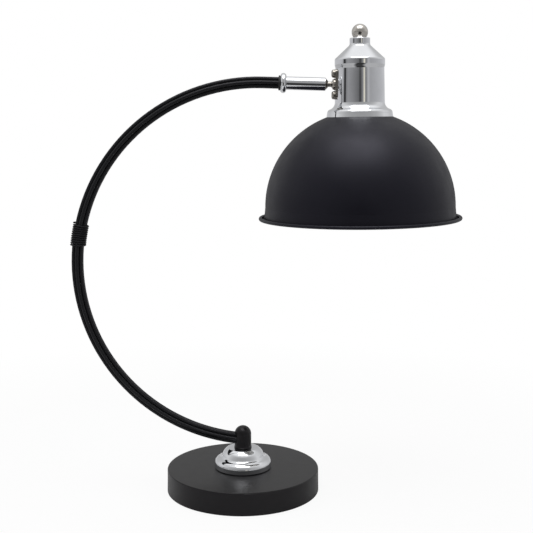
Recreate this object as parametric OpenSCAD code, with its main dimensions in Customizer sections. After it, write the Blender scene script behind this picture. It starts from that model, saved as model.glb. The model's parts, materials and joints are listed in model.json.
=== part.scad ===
// Desk lamp: a weighted disc base, a C-shaped arm bundled from thin rods and
// a spun metal dome shade that hangs from a small ball joint.
// Millimetres. +Z is up, +X points from the post to the shade, +Y to the back.
// The origin is the centre of the base's underside.

/* [Base] */
// Diameter of the base at the desk
base_d = 154.6; // [146:0.1:170]
// How much narrower the base is at its top than at the desk
base_taper = 0.6; // [0:0.1:2]
// Height of the base's top face above the desk
base_h = 23.3; // [20:0.1:28]
// Radius of the rounded top edge of the base
base_edge = 0.9; // [0.8:0.1:3]
// Sheet thickness of the base cover
cover_wall = 1.2; // [0.8:0.1:1.6]
// Height of the cover's rim above the desk
rim_lift = 0.8; // [0.4:0.1:1.2]
// Thickness of the pad under the base
pad_t = 2.4; // [1.6:0.1:3]
// Depth of the hollow in the underside of the weight
relief_depth = 11; // [9.5:0.5:12]
// Width of the weight's outer rim
weight_rim = 13; // [9:0.5:18]
// Diameter of the weight's centre boss
boss_d = 48; // [42:1:56]
// Diameter of the nut's recess in the centre boss
recess_d = 28; // [24:1:34]

/* [Cable outlet] */
// Bore of the cable bush
gland_bore = 6.4; // [5:0.1:7.4]
// Diameter of the bush where it passes the cover's wall
gland_d = 9.6; // [9:0.1:10.6]
// Diameter of the bush's outer flange
gland_flange_d = 13; // [12:0.5:14]
// Thickness of the bush's outer flange
gland_flange_t = 1.8; // [1.2:0.1:2.6]
// Thickness of the bush's inner snap ring
gland_ring_t = 1.6; // [1:0.1:2.4]

/* [Terminal block] */
// Width of the terminal block
block_w = 17; // [12:0.5:20]
// Length of the terminal block
block_l = 16; // [12:0.5:20]
// Distance from the post's axis to the middle of the terminal block
block_y = 44; // [41:0.5:46]

/* [Base cup] */
// Diameter of the chrome cup's lip
cup_lip_d = 58; // [54:0.5:70]
// Height of the straight side of the lip
cup_lip_h = 4.6; // [3:0.2:6]
// Radius of the lip's rounded lower edge
cup_foot_round = 1; // [0.4:0.1:1.6]
// Radius of the lip's rounded shoulder
cup_lip_round = 6; // [4:0.2:6.4]
// Height of the cup above the base
cup_h = 20.5; // [18:0.5:26]
// Diameter of the cup's domed part at its waist
cup_waist_d = 43.8; // [40:0.2:46]
// Radius of the hollow between dome and lip
cup_hollow = 4.4; // [2:0.2:6]
// Radius of the dome's rounded side
cup_dome_r = 12.7; // [11:0.1:13.5]
// Height of the waist above the base
cup_waist_h = 9.4; // [8:0.2:10.5]
// Sheet thickness of the cup
cup_wall = 1.2; // [0.8:0.1:1.6]

/* [Post] */
// Diameter of the post
post_d = 17; // [16:0.5:20]
// Diameter of the post's foot bead
post_foot_d = 17.8; // [17:0.1:22]
// Height of the post's foot bead
post_foot_h = 1.6; // [1:0.1:3]
// Height of the post from its foot to its round top
post_h = 22.8; // [22:0.2:30]
// Diameter of the threaded shank below the post
shank_d = 9.8; // [9:0.1:11]
// Bore through the shank for the lead
shank_bore = 6; // [5.4:0.1:6.6]
// How far the shank stands out of the nut
thread_proud = 1.5; // [0.6:0.1:1.8]
// Width across the flats of the base nut
nut_af = 16; // [15:0.5:18]
// Thickness of the base nut
nut_t = 3.4; // [2.6:0.2:3.6]
// Diameter of the washer above the base nut
washer_d = 19; // [18:0.5:22]
// Thickness of the washer above the base nut
washer_t = 1; // [0.8:0.1:1.2]

/* [Arm] */
// Radius of the arm's arc along its centreline
arm_r = 179.3; // [165:0.1:195]
// Slope of the arm where it enters the post, in degrees
foot_angle = 5.7; // [3:0.1:8]
// Height of the arm's lower end above the post's foot
arm_entry = 9.6; // [9:0.1:12]
// Distance of the rods' lower ends from the post's axis
rod_stop = 2.7; // [2.4:0.1:3.2]
// Downward slope of the arm's straight end, in degrees
head_slope = 1.6; // [0:0.1:6]
// Diameter of one rod of the bundle
rod_d = 4; // [3.7:0.1:4.2]
// Gap between neighbouring rods
rod_gap = 0.1; // [0.06:0.01:0.2]
// Bore of the bundle's centre tube, which carries the lead
tube_bore = 3; // [2.6:0.1:3.1]
// Diameter of the lead inside the arm
lead_d = 2; // [1.6:0.1:2.1]
// Bend radius of the lead inside the post
lead_bend = 4.4; // [4:0.1:4.6]
// Bend radius of the lead inside the base
lead_low_bend = 5; // [4.4:0.1:6]

/* [Binding] */
// Diameter of the binding wire
bind_wire_d = 1.6; // [1.2:0.1:1.6]
// Distance from one turn of the binding to the next
bind_pitch = 2.15; // [2.15:0.01:2.5]
// Number of turns of the binding
bind_turns = 10; // [6:1:14]
// Place of the binding along the arc, in degrees down from its top
bind_angle = 80.2; // [40:0.1:120]

/* [Arm end] */
// Length of bare straight rods before the end washer
washer_at = 15.6; // [8:0.2:24]
// Diameter of the black end washer
end_washer_d = 14.6; // [14:0.1:17]
// Thickness of the black end washer
end_washer_t = 1.8; // [1:0.1:3]
// Diameter of the chrome bead ring
bead_d = 19.2; // [18:0.1:22]
// Width of the chrome bead ring
bead_w = 5.8; // [5:0.1:6.4]
// Diameter of the chrome sleeve
sleeve_d = 12.7; // [12.2:0.1:12.7]
// Wall thickness of the sleeve
sleeve_wall = 1.4; // [1:0.1:1.6]
// Length of the sleeve
sleeve_len = 42.6; // [36:0.2:60]
// How deep the sleeve sits in the bead ring
sleeve_seat = 2.2; // [1.4:0.1:3]
// Thickness of the sleeve's closed end
sleeve_end_t = 4; // [3.2:0.1:6]
// Length of the cone at the sleeve's closed end
sleeve_cone = 2.2; // [1:0.1:2.8]

/* [Ball joint] */
// Diameter of the pivot ball
ball_d = 9.6; // [9:0.1:10]
// Diameter of the stud's neck
neck_d = 5; // [4.4:0.1:5.2]
// Bore through the stud and the ball for the lead
stud_bore = 2.2; // [1.8:0.1:2.4]
// Distance from the sleeve's end to the centre of the ball
ball_reach = 7.4; // [7:0.1:10]
// Diameter of the stud's head inside the sleeve
stud_head_d = 8.8; // [8:0.1:9.2]
// Thickness of the stud's head
stud_head_t = 2.5; // [1.5:0.1:4]
// Thickness of the friction washer inside the sleeve
friction_t = 0.9; // [0.6:0.1:1.5]
// Wall of the pressed socket around the ball
socket_t = 0.62; // [0.5:0.02:0.8]
// Half angle of the socket's mouth, in degrees
mouth_angle = 58; // [57:0.5:60]
// Thickness of the liner behind the ball
liner_t = 1.1; // [0.9:0.05:1.2]

/* [Socket plate] */
// Width of the socket plate
plate_w = 17.6; // [16.4:0.1:18.4]
// Height of the socket plate
plate_h = 28.9; // [28.5:0.1:32]
// Thickness of the socket plate
plate_t = 2; // [1.6:0.1:2.4]
// Radius of the socket plate's corners
plate_corner = 3; // [1:0.1:5]
// How deep the ball's centre lies behind the plate's outer face
ball_sink = 0.5; // [0.4:0.1:0.8]
// Distance of each clamp screw from the ball
screw_pitch = 10.3; // [10.2:0.05:10.4]
// Diameter of the screw heads
screw_head_d = 8; // [7:0.1:8]
// Height of the screw heads
screw_head_h = 3.4; // [2.6:0.1:3.6]
// Diameter of the screw shanks
screw_d = 3.8; // [3:0.1:4]
// Length of the screws under their heads
screw_len = 5.6; // [4.8:0.1:6.4]

/* [Head cup] */
// Lean of the whole head at rest, in degrees
head_lean = 0.7; // [0:0.1:3]
// Diameter of the cup's body at its top
body_top_d = 47.3; // [46.8:0.1:47.6]
// Diameter of the cup's body above its flare
body_low_d = 48.6; // [48.2:0.1:49]
// Height of the cup's top above the ball
body_top = 17; // [16.9:0.1:20]
// Drop from the ball to the start of the flare
flare_drop = 17.3; // [16:0.1:18]
// Radius of the flare
flare_r = 7; // [6:0.1:7.4]
// Diameter of the cup's flange
flange_d = 65; // [64:0.2:68]
// How much narrower the flange is at its upper edge
flange_taper = 1.2; // [0:0.1:2]
// Drop from the ball to the flange's lower edge
flange_drop = 31.5; // [30:0.1:33]
// Radius of the flange's rounded upper edge
flange_round = 4; // [2:0.1:4.2]
// Sheet thickness of the head cup and its cap
head_wall = 0.9; // [0.7:0.05:1]

/* [Cup cap] */
// Diameter of the cap's shoulder band
band_d = 48.7; // [48.2:0.1:50]
// Height of the cap's shoulder band up to its rounded upper edge
band_h = 6.1; // [5:0.1:7.5]
// Radius of the band's rounded upper edge
band_round = 2.4; // [1.2:0.1:3]
// Radius of the band's rounded lower edge and of the hollow in the cup's edge under it
band_foot_round = 6; // [4:0.5:8]
// Diameter of the cap's collar
collar_d = 19.8; // [18.4:0.1:22]
// Slope of the cap's cone above the band, in degrees
cone_slope = 42.3; // [40:0.1:44]
// Height of the whole cap
cap_h = 27; // [26:0.1:30]
// Radius of the hollow between cone and collar
collar_fillet = 3.2; // [3:0.1:6]
// Thickness of the collar's top
collar_top_t = 1.6; // [1.2:0.1:2.2]
// Depth of the cap's spigot in the head cup
spigot_h = 2.2; // [1.4:0.1:2.2]

/* [Finial] */
// Diameter of the finial ball
finial_d = 15.9; // [15:0.1:18]
// Width of the finial's seat on the collar
finial_seat_d = 11.6; // [11.2:0.1:12.4]
// Diameter of the threaded stud that clamps the head together
rod_stud_d = 9.8; // [9:0.1:10]
// Depth of the threaded hole in the finial
finial_hole = 6; // [4:0.1:7]
// Width across the flats of the stud's nut
stud_nut_af = 13.6; // [13:0.1:14]
// Thickness of the stud's nut
stud_nut_t = 3; // [2:0.1:3.6]

/* [Shade] */
// Outer radius of the shade's dome
dome_r = 93.4; // [88:0.1:105]
// Height of the shade's skirt, from the rim's underside to the dome's centre
skirt_h = 12.7; // [8:0.1:20]
// How much the skirt widens towards the rim
skirt_flare = 1.3; // [0:0.1:2]
// Diameter of the whole shade at its rim
rim_d = 200; // [199:0.5:212]
// Diameter of the roll along the rim's edge
rim_bead_d = 3.4; // [2.6:0.1:4]
// Radius of the hollow between the skirt and the rim
rim_fillet = 1.6; // [0.8:0.1:2]
// Sheet thickness of the shade
shade_wall = 0.8; // [0.6:0.05:1.2]
// Radius of the flat seat at the top of the shade
shade_flat_r = 28.5; // [27:0.1:29.5]

/* [Lampholder] */
// Outer diameter of the lampholder's skirt
skirt_d = 39.8; // [39:0.1:40.4]
// Wall thickness of the lampholder's skirt
skirt_wall = 2.9; // [2.4:0.1:3]
// Length of the skirt below the shade's seat
skirt_len = 21.6; // [19:0.2:28]
// Width of the shoulder that rests on the shade
shoulder_w = 2.6; // [1.6:0.1:3.4]
// Thickness of that shoulder
shoulder_t = 2.5; // [1.6:0.1:2.8]
// Height of the skirt's neck above its shoulder
neck_h = 4.1; // [3:0.1:4.4]
// Diameter of the lampholder's cap
holder_cap_d = 41; // [40.4:0.1:42]
// Radius of the cap's rounded shoulder
holder_cap_round = 8; // [7:0.1:8.4]
// Height of the straight side of the cap
holder_cap_side = 4.6; // [4:0.1:5]
// Wall thickness of the cap
holder_cap_wall = 2; // [1.6:0.1:2.2]
// Outer diameter of the ring that clamps the shade
ring_d = 53; // [50:0.5:56]
// Thickness of the ring that clamps the shade
ring_t = 4.6; // [3:0.1:6]
// Inner diameter of the lamp's screw shell
shell_bore = 27; // [26.8:0.1:27.2]
// Wall thickness of the screw shell
shell_wall = 0.8; // [0.5:0.1:0.9]
// Length of the screw shell
shell_len = 21; // [18:0.2:22]
// Diameter of the centre contact
contact_d = 7; // [6:0.1:9]

/* [Fits] */
// Gap between pieces that are pushed or clamped together
seat_gap = 0.1; // [0.05:0.01:0.15]
// Gap at the pivot ball and the stud, which turn
pivot_gap = 0.08; // [0.05:0.01:0.1]
// Gap between the weight and the cover around it
weight_gap = 0.3; // [0.2:0.05:0.5]
// Gap between the rod bundle and the holes that it enters
bundle_gap = 0.2; // [0.15:0.01:0.25]

/* [Hidden] */

// Smoothness of the round shapes
$fn = 96;
// A little more than nothing, for cuts that have to pass a face
eps = 0.01;
// A length that is sure to reach past the piece being cut
past = 60;

// Colours
c_black = "#1d1d1f";
c_chrome = "#c8cbd0";
c_nickel = "#9a948c";
c_iron = "#4b4c50";
c_zinc = "#b3b6ba";
c_nylon = "#e8e6df";
c_ceramic = "#f1efe9";
c_brass = "#c9a24a";
c_rubber = "#2b2b2d";
c_lead = "#d9d6cc";

// Base, from the desk upwards
cover_r = base_d / 2;
cover_top_r = (base_d - base_taper) / 2;
cover_in_r = cover_top_r - cover_wall;
weight_r = cover_in_r - weight_gap;
weight_top = base_h - cover_wall;
relief_top = pad_t + relief_depth;
relief_r = weight_r - weight_rim;
outlet_z = pad_t + relief_depth / 2;
shank_hole_r = shank_d / 2 + seat_gap;
shank_low = relief_top - washer_t - nut_t - thread_proud;

// Arm: the lower end lies in the post, the arc rises round the left side and
// leaves its top at the slope of the straight end
post_z = base_h + cup_h;
foot_x = -rod_stop;
foot_z = post_z + arm_entry;
arm_cx = foot_x + arm_r * sin(foot_angle);
arm_cz = foot_z + arm_r * cos(foot_angle);
arc_from = 90 - head_slope;
arc_sweep = 180 + head_slope - foot_angle;
rod_pitch = rod_d + rod_gap;
bundle_r = rod_pitch + rod_d / 2;
bundle_hole_r = bundle_r + bundle_gap;
straight_x = arm_cx + arm_r * sin(head_slope);
straight_z = arm_cz + arm_r * cos(head_slope);

// Distances along the straight end, from where the arc stops
bead_at = washer_at + end_washer_t;
sleeve_at = bead_at + bead_w - sleeve_seat;
rods_end = sleeve_at - seat_gap;
sleeve_end = sleeve_at + sleeve_len;
end_wall_at = sleeve_end - sleeve_end_t;
friction_at = end_wall_at - seat_gap - friction_t;
stud_head_at = friction_at - pivot_gap - stud_head_t;
ball_at = sleeve_end + ball_reach;
lead_end = stud_head_at - seat_gap;

// Ball joint
ball_r = ball_d / 2;
socket_in_r = ball_r + pivot_gap;
socket_r = socket_in_r + socket_t;
liner_r = socket_in_r + liner_t;
pocket_r = liner_r + pivot_gap;
liner_from = 30;
liner_to = 50;
ball_x = straight_x + ball_at * cos(head_slope);
ball_z = straight_z - ball_at * sin(head_slope);

// Head, measured from its own axis and from the height of the ball
function body_r(z) =
    let (t = (z + flare_drop) / (body_top + flare_drop))
    (body_low_d * (1 - t) + body_top_d * t) / 2;
// The plate lies on a flat across the cup; the plate's edges meet the cup's skin
flat_r = sqrt(pow(body_r(0), 2) - pow(plate_w / 2 + 3 * seat_gap, 2));
head_offset = flat_r + plate_t - ball_sink;
saddle_t = 2;
boss_r = pocket_r + 2.1;
boss_back = head_offset - pocket_r - 1.3;
boss_front = sqrt(pow(body_r(0) - head_wall - seat_gap, 2) - pow(boss_r, 2)) - seat_gap;
wire_hole_r = stud_bore;

// Shade and flange: the flange's edge stands on the dome
flange_z = -flange_drop;
dome_z = flange_z - sqrt(pow(dome_r, 2) - pow(flange_d / 2, 2));
shade_seat_z = dome_z + sqrt(pow(dome_r, 2) - pow(shade_flat_r, 2));
shade_hole_r = skirt_d / 2 + 3 * seat_gap;
rim_z = dome_z - skirt_h;
rim_r = rim_d / 2 - rim_bead_d / 2;

// Cap and finial: the cap's band and the cup's edge each take half of the step between them
band_step = (band_d / 2 - body_r(body_top)) / 2;
band_foot_h = sqrt(pow(band_foot_round, 2) - pow(band_foot_round - band_step, 2));
collar_top = body_top + cap_h;
collar_r = collar_d / 2;
finial_r = finial_d / 2;
finial_z = collar_top + sqrt(pow(finial_r, 2) - pow(finial_seat_d / 2, 2));
rod_stud_r = rod_stud_d / 2;

// Lampholder, from the shade's seat upwards and downwards
shoulder_top = shade_seat_z + shoulder_t;
cap_low = shoulder_top + neck_h;
holder_cap_r = holder_cap_d / 2;
cap_side_top = cap_low + holder_cap_side;
cap_roof = cap_side_top + holder_cap_round;
skirt_r = skirt_d / 2;
skirt_low = shade_seat_z - skirt_len;
skirt_lip = 2;
shell_r = shell_bore / 2 + shell_wall;
core_r = skirt_r - skirt_wall - seat_gap;
core_low = skirt_low + skirt_lip + seat_gap;
shell_low = skirt_low + 0.6;
shell_top = shell_low + shell_len;
core_top = shell_top + 5;
contact_gap = 4 * seat_gap;
contact_t = 1.5;
head_lead_x = holder_cap_r - holder_cap_round - lead_d - 0.4;
head_lead_bend = 5;

// Frames

// The straight end of the arm: +Z runs along it, away from the arc
module arm_end(at = 0) {
    translate([straight_x, 0, straight_z])
        rotate([0, 90 + head_slope, 0])
            translate([0, 0, at])
                children();
}

// The ball's centre, with +X into the head
module ball_frame() {
    translate([ball_x, 0, ball_z])
        rotate([0, -head_lean, 0])
            children();
}

// The head's axis, with the origin at the height of the ball
module head_frame() {
    ball_frame()
        translate([head_offset, 0, 0])
            children();
}

// Shapes that repeat

// A full turn of an outline about +Z
module turned() {
    rotate_extrude() children();
}

// A strand along the arm, dr outwards and dy back from its centreline: the arc,
// and from the arc's upper end a straight length
module arm_strand(dr, dy, straight) {
    translate([arm_cx, dy, arm_cz])
        rotate([90, 0, 0])
            rotate([0, 0, arc_from]) {
                rotate_extrude(angle = arc_sweep)
                    translate([arm_r + dr, 0])
                        children();
                translate([arm_r + dr, 0, 0])
                    rotate([90, 0, 0])
                        linear_extrude(height = straight)
                            children();
            }
}

// A ring of outer radius r1 and inner radius r2
module ring_outline(r1, r2) {
    difference() {
        circle(r = r1);
        circle(r = r2);
    }
}

// A hexagonal nut with its hole, standing on z = 0
module hex_nut(af, hole_r, t) {
    difference() {
        cylinder(d = af / cos(30), h = t, $fn = 6);
        translate([0, 0, -1]) cylinder(r = hole_r, h = t + 2);
    }
}

// A cone outline from radius r1 at z1 to r2 at z2, filled to the axis
module cone_outline(r1, z1, r2, z2) {
    polygon([[0, z1], [r1, z1], [r2, z2], [0, z2]]);
}

// Base

module base_pad() {
    color(c_rubber)
        cylinder(r = weight_r, h = pad_t);
}

// The base's outline, moved inwards by w
module base_outline(w) {
    edge = base_edge - (w > 0 ? min(w, base_edge - 0.2) : 0);
    top = base_h - w;
    cone_outline(cover_r - w, rim_lift, cover_top_r - w, top - edge);
    translate([0, top - edge - eps]) square([cover_top_r - w - edge, edge + eps]);
    intersection() {
        translate([cover_top_r - w - edge, top - edge]) circle(r = edge);
        square([cover_r, top]);
    }
}

module base_cover() {
    color(c_black)
        difference() {
            turned() base_outline(0);
            turned() {
                base_outline(cover_wall);
                translate([0, -1]) square([cover_r - cover_wall, 1 + rim_lift + eps]);
            }
            translate([0, 0, weight_top - 1]) cylinder(r = shank_hole_r, h = cover_wall + 2);
            outlet() translate([0, 0, -past]) cylinder(d = gland_d + 2 * seat_gap, h = 2 * past);
        }
}

// The cable outlet, with +Z out of the base's back
module outlet() {
    translate([0, cover_r, outlet_z]) rotate([-90, 0, 0]) children();
}

// Cast weight, hollowed underneath, with a slot for the lead and a notch for the bush
module base_weight() {
    notch_w = gland_flange_d + 3;
    slot_w = 3 * lead_d;
    color(c_iron)
        difference() {
            translate([0, 0, pad_t])
                cylinder(r = weight_r, h = weight_top - pad_t);
            translate([0, 0, pad_t - 1])
                turned() {
                    translate([boss_d / 2, 0])
                        square([relief_r - boss_d / 2, relief_depth + 1]);
                    square([recess_d / 2, relief_depth + 1]);
                }
            translate([0, 0, relief_top - 1]) cylinder(r = shank_hole_r, h = past);
            translate([-notch_w / 2, relief_r - 2, pad_t - 1])
                cube([notch_w, past, relief_depth + 1]);
            translate([lead_x() - slot_w / 2, 0, pad_t - 1])
                cube([slot_w, boss_d / 2 + 2, relief_depth / 2 + 1]);
        }
}

module cable_bush() {
    wall_span = cover_wall + 3 * seat_gap;
    color(c_rubber)
        outlet()
            difference() {
                union() {
                    translate([0, 0, 0.05]) turned() {
                        square([gland_flange_d / 2, gland_flange_t / 2]);
                        square([gland_flange_d / 2 - gland_flange_t / 2, gland_flange_t]);
                        intersection() {
                            translate([gland_flange_d / 2 - gland_flange_t / 2, gland_flange_t / 2])
                                circle(r = gland_flange_t / 2);
                            square([gland_flange_d, gland_flange_t]);
                        }
                    }
                    translate([0, 0, -wall_span - gland_ring_t])
                        cylinder(d = gland_d, h = wall_span + gland_ring_t + 1);
                    translate([0, 0, -wall_span - gland_ring_t])
                        cylinder(d1 = gland_d, d2 = gland_d + 1.6, h = gland_ring_t - 0.3);
                }
                translate([0, 0, -past / 2]) cylinder(d = gland_bore, h = past);
            }
}

// Two-way block that joins the supply to the lead of the arm
module terminal_block() {
    block_h = relief_depth - 4 * seat_gap;
    low = relief_top - block_h;
    color(c_nylon)
        translate([lead_x(), block_y, low])
            difference() {
                translate([-block_w / 2, -block_l / 2, 0]) cube([block_w, block_l, block_h]);
                for (side = [-1, 1])
                    for (end = [-1, 1])
                        translate([side * block_w / 4, end * block_l / 4, -1])
                            cylinder(d = block_w / 4, h = block_h / 2 + 1);
            }
}

// Chrome cup on the base

// The cup's outline, moved inwards by w
module cup_outline(w) {
    lip_r = cup_lip_d / 2;
    dome_x = cup_waist_d / 2 - cup_dome_r;
    round_x = lip_r - cup_lip_round;
    // Centre of the hollow's circle, which touches the dome's and the shoulder's
    apart = norm([round_x - dome_x, cup_lip_h - cup_waist_h]);
    to_dome = cup_dome_r + cup_hollow;
    along = (pow(to_dome, 2) - pow(cup_lip_round + cup_hollow, 2) + pow(apart, 2)) / (2 * apart);
    up = sqrt(pow(to_dome, 2) - pow(along, 2));
    ux = (round_x - dome_x) / apart;
    uz = (cup_lip_h - cup_waist_h) / apart;
    hollow_x = dome_x + along * ux - up * uz;
    hollow_z = cup_waist_h + along * uz + up * ux;
    foot = cup_foot_round - min(w, cup_foot_round - 0.1);
    square([lip_r - w - foot, cup_lip_h]);
    translate([0, foot]) square([lip_r - w, cup_lip_h - foot]);
    translate([lip_r - w - foot, foot]) circle(r = foot);
    square([lip_r - cup_lip_round, cup_lip_h + cup_lip_round - w]);
    intersection() {
        union() {
            translate([round_x, cup_lip_h]) circle(r = cup_lip_round - w);
            translate([dome_x, cup_waist_h]) circle(r = cup_dome_r - w);
        }
        square([lip_r, cup_h - w]);
    }
    difference() {
        polygon([[dome_x, cup_waist_h], [round_x, cup_lip_h], [hollow_x, hollow_z]]);
        translate([hollow_x, hollow_z]) circle(r = cup_hollow + w);
    }
    square([dome_x, cup_h - w]);
}

module base_cup() {
    color(c_chrome)
        translate([0, 0, base_h])
            difference() {
                turned() cup_outline(0);
                turned() {
                    cup_outline(cup_wall);
                    translate([0, -1]) square([cup_lip_d / 2 - cup_wall, 1 + eps]);
                }
                translate([0, 0, cup_h - cup_wall - 1]) cylinder(r = shank_hole_r, h = cup_wall + 2);
            }
}

// Post with its threaded shank; the arm enters it from the left
module post() {
    r = post_d / 2;
    foot_r = post_foot_d / 2;
    color(c_black)
        difference() {
            union() {
                translate([0, 0, post_z]) cylinder(r = r, h = post_h - r);
                translate([0, 0, post_z + post_h - r])
                    intersection() {
                        sphere(r = r);
                        translate([-r, -r, 0]) cube([2 * r, 2 * r, r]);
                    }
                translate([0, 0, post_z]) turned() {
                    square([foot_r - post_foot_h / 2, post_foot_h]);
                    translate([foot_r - post_foot_h / 2, post_foot_h / 2]) circle(d = post_foot_h);
                }
                translate([0, 0, shank_low]) cylinder(d = shank_d, h = post_z - shank_low + 1);
            }
            translate([0, 0, shank_low - 1])
                cylinder(d = shank_bore, h = foot_z + lead_d - shank_low + 1);
            translate([foot_x, 0, foot_z])
                rotate([0, foot_angle - 90, 0])
                    cylinder(r = bundle_hole_r, h = post_d);
        }
}

module lock_washer() {
    color(c_zinc)
        translate([0, 0, relief_top - washer_t])
            difference() {
                cylinder(d = washer_d, h = washer_t);
                translate([0, 0, -1]) cylinder(r = shank_hole_r, h = washer_t + 2);
            }
}

module base_nut() {
    color(c_zinc)
        translate([0, 0, relief_top - washer_t - nut_t])
            hex_nut(nut_af, shank_hole_r, nut_t);
}

// Arm

// Rod i of six around the centre tube, seen as three rows from the front
module arm_rod(i) {
    turn = 60 * i;
    color(c_black)
        arm_strand(rod_pitch * sin(turn), rod_pitch * cos(turn), rods_end)
            circle(d = rod_d);
}

module arm_centre_tube() {
    color(c_black)
        arm_strand(0, 0, rods_end)
            ring_outline(rod_d / 2, tube_bore / 2);
}

// Where the lead rises beside the post's axis, so that it bends into the tube
function lead_x() = foot_x + lead_bend * (1 - sin(foot_angle));

// The lead from the terminal block, up the post and along the arm's centre tube,
// where it is a hair thinner than the bend that leads into it
module arm_lead() {
    low_z = pad_t + lead_d;
    bend_z = foot_z - lead_bend * cos(foot_angle);
    block_face = block_y - block_l / 2;
    color(c_lead) {
        translate([lead_x(), lead_low_bend, low_z + lead_low_bend])
            rotate([0, -90, 0])
                rotate([0, 0, 180]) {
                    rotate_extrude(angle = 90)
                        translate([lead_low_bend, 0])
                            circle(d = lead_d);
                    translate([lead_low_bend, 0, 0])
                        rotate([90, 0, 0])
                            cylinder(d = lead_d, h = block_face - seat_gap - lead_low_bend);
                }
        translate([lead_x(), 0, low_z + lead_low_bend])
            cylinder(d = lead_d, h = bend_z - low_z - lead_low_bend);
        translate([lead_x() - lead_bend, 0, bend_z])
            rotate([90, 0, 0])
                rotate_extrude(angle = 91 - foot_angle)
                    translate([lead_bend, 0])
                        circle(d = lead_d);
        arm_strand(0, 0, lead_end)
            circle(d = lead_d - 2 * eps);
    }
}

// Binding: one wire wound round the bundle, its axis following the arc

bind_r = bundle_r + bundle_gap + bind_wire_d / 2;
bind_rings = 24;
bind_sides = 6;
bind_steps = bind_turns * bind_rings;
bind_span = bind_turns * bind_pitch / arm_r * 180 / PI;

// A point of the winding: turn angle a about the bundle, arc angle b down from the top
function bind_point(a, b) =
    let (r = arm_r + bind_r * cos(a))
    [arm_cx - r * sin(b), bind_r * sin(a), arm_cz + r * cos(b)];

// The wire's centreline: the wound length, and a straight tail at each end
function bind_wound(k) =
    bind_point(-360 * k / bind_rings, bind_angle + bind_span * (0.5 - k / bind_steps));
function unit(v) = v / norm(v);
bind_path = concat(
    [bind_wound(0) - bind_wire_d * unit(bind_wound(1) - bind_wound(0))],
    [for (k = [0:bind_steps]) bind_wound(k)],
    [bind_wound(bind_steps) + bind_wire_d * unit(bind_wound(bind_steps) - bind_wound(bind_steps - 1))]
);

// A ring of the wire's skin at point k of the path, in a plane across the path
function bind_ring(k) =
    let (
        last = len(bind_path) - 1,
        along = unit(bind_path[min(k + 1, last)] - bind_path[max(k - 1, 0)]),
        arc_way = unit(bind_path[k] - [arm_cx, 0, arm_cz]),
        up = unit(cross(along, cross([0, 1, 0], arc_way))),
        side = unit(cross(along, up)),
        top = cross(side, along)
    )
    [for (s = [0:bind_sides - 1])
        bind_path[k] + bind_wire_d / 2 * (cos(360 * s / bind_sides) * side
                                          + sin(360 * s / bind_sides) * top)];

// Least distance from the winding's first turns to the turn beside each of them, less the wire
bind_gap = min([for (k = [1:bind_steps - bind_rings - 2])
    for (j = [-2:2]) norm(bind_path[k] - bind_path[k + bind_rings + j])]) - bind_wire_d;
echo(bind_gap = bind_gap);

module arm_binding() {
    rings = len(bind_path);
    points = [for (k = [0:rings - 1]) for (p = bind_ring(k)) p];
    sides = [for (k = [0:rings - 2]) for (s = [0:bind_sides - 1])
        let (
            a = k * bind_sides + s,
            b = k * bind_sides + (s + 1) % bind_sides,
            c = b + bind_sides,
            d = a + bind_sides
        )
        each [[a, b, c], [a, c, d]]];
    first = [for (s = [1:bind_sides - 2]) [0, s + 1, s]];
    end = (rings - 1) * bind_sides;
    last = [for (s = [1:bind_sides - 2]) [end, end + s, end + s + 1]];
    color(c_black)
        polyhedron(points = points, faces = concat(sides, first, last));
}

// Fittings at the arm's straight end

module arm_end_washer() {
    edge = end_washer_t / 2;
    r = end_washer_d / 2;
    color(c_rubber)
        arm_end(washer_at)
            difference() {
                turned() {
                    square([r - edge, end_washer_t]);
                    translate([r - edge, edge]) circle(r = edge);
                }
                translate([0, 0, -1]) cylinder(r = bundle_hole_r, h = end_washer_t + 2);
            }
}

module sleeve_bead() {
    half = bead_w / 2;
    color(c_chrome)
        arm_end(bead_at)
            difference() {
                turned() {
                    square([bead_d / 2 - half, bead_w]);
                    translate([bead_d / 2 - half, half]) circle(r = half);
                }
                translate([0, 0, -1]) cylinder(r = bundle_hole_r, h = bead_w + 2);
                translate([0, 0, bead_w - sleeve_seat - seat_gap])
                    cylinder(r = sleeve_d / 2 + seat_gap, h = bead_w);
            }
}

module arm_sleeve() {
    r = sleeve_d / 2;
    corner_r = r - 0.5;
    tip_r = neck_d / 2 + 0.9;
    color(c_chrome)
        arm_end(sleeve_at)
            difference() {
                union() {
                    cylinder(r = r, h = sleeve_len - sleeve_cone - 0.5);
                    turned()
                        polygon([
                            [0, sleeve_len - sleeve_cone - 0.5],
                            [r, sleeve_len - sleeve_cone - 0.5],
                            [corner_r, sleeve_len - sleeve_cone],
                            [tip_r, sleeve_len],
                            [0, sleeve_len]
                        ]);
                }
                translate([0, 0, -1])
                    cylinder(r = r - sleeve_wall, h = sleeve_len - sleeve_end_t + 1);
                cylinder(r = neck_d / 2 + pivot_gap, h = sleeve_len + 1);
            }
}

module friction_washer() {
    color(c_nylon)
        arm_end(friction_at)
            difference() {
                cylinder(d = stud_head_d, h = friction_t);
                translate([0, 0, -1]) cylinder(r = neck_d / 2 + pivot_gap, h = friction_t + 2);
            }
}

// Ball joint

// Hollow stud: its head turns inside the sleeve and its tip is screwed into the ball
module swivel_stud() {
    tip_r = neck_d / 2 - 0.5;
    neck_stop = ball_at - sqrt(pow(ball_r, 2) - pow(neck_d / 2, 2));
    tip_end = ball_at + ball_r - 1.2;
    color(c_nickel)
        arm_end(stud_head_at)
            difference() {
                union() {
                    cylinder(d = stud_head_d, h = stud_head_t);
                    cylinder(d = neck_d, h = neck_stop - stud_head_at);
                    cylinder(r = tip_r, h = tip_end - stud_head_at);
                }
                translate([0, 0, -1]) cylinder(d = stud_bore, h = past);
            }
}

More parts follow.
